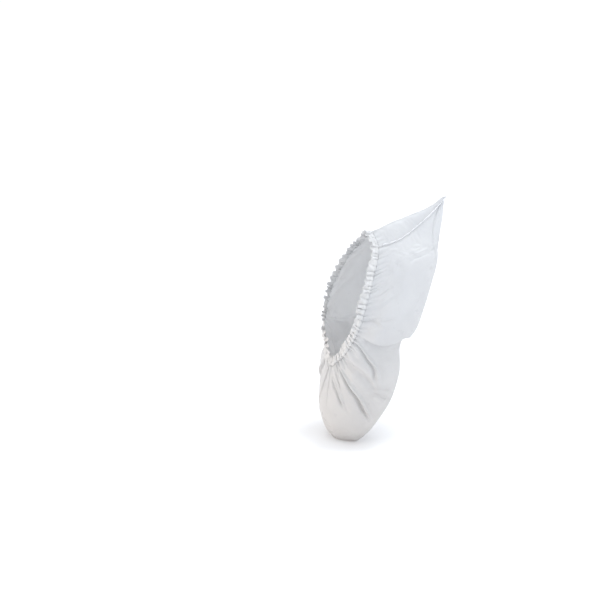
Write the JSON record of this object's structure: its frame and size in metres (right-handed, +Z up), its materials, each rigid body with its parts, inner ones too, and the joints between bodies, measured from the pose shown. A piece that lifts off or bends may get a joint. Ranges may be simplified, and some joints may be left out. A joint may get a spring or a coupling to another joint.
{
  "type": "disposable plastic shoe cover",
  "caption": "White disposable film shoe cover in its worn shape, toe down, with a gathered elastic hem and a pointed heel corner.",
  "frame": {"origin": "shoe_seat: the middle of the heel of the shoe's sole, where the shoe sits in the cover", "axes": "+Z up; the toe points down, 66 degrees below level, and towards -Y; +X is the outer side of the wearer's left foot"},
  "size_m": [0.1188, 0.1693, 0.2935],
  "materials": {
    "film": "embossed translucent film",
    "hem_film": "gathered film",
    "seam_film": "welded film"
  },
  "bodies": {
    "root": {"film_bag": "film", "elastic_hem": "hem_film", "heel_seam": "seam_film"}
  },
  "joints": []
}
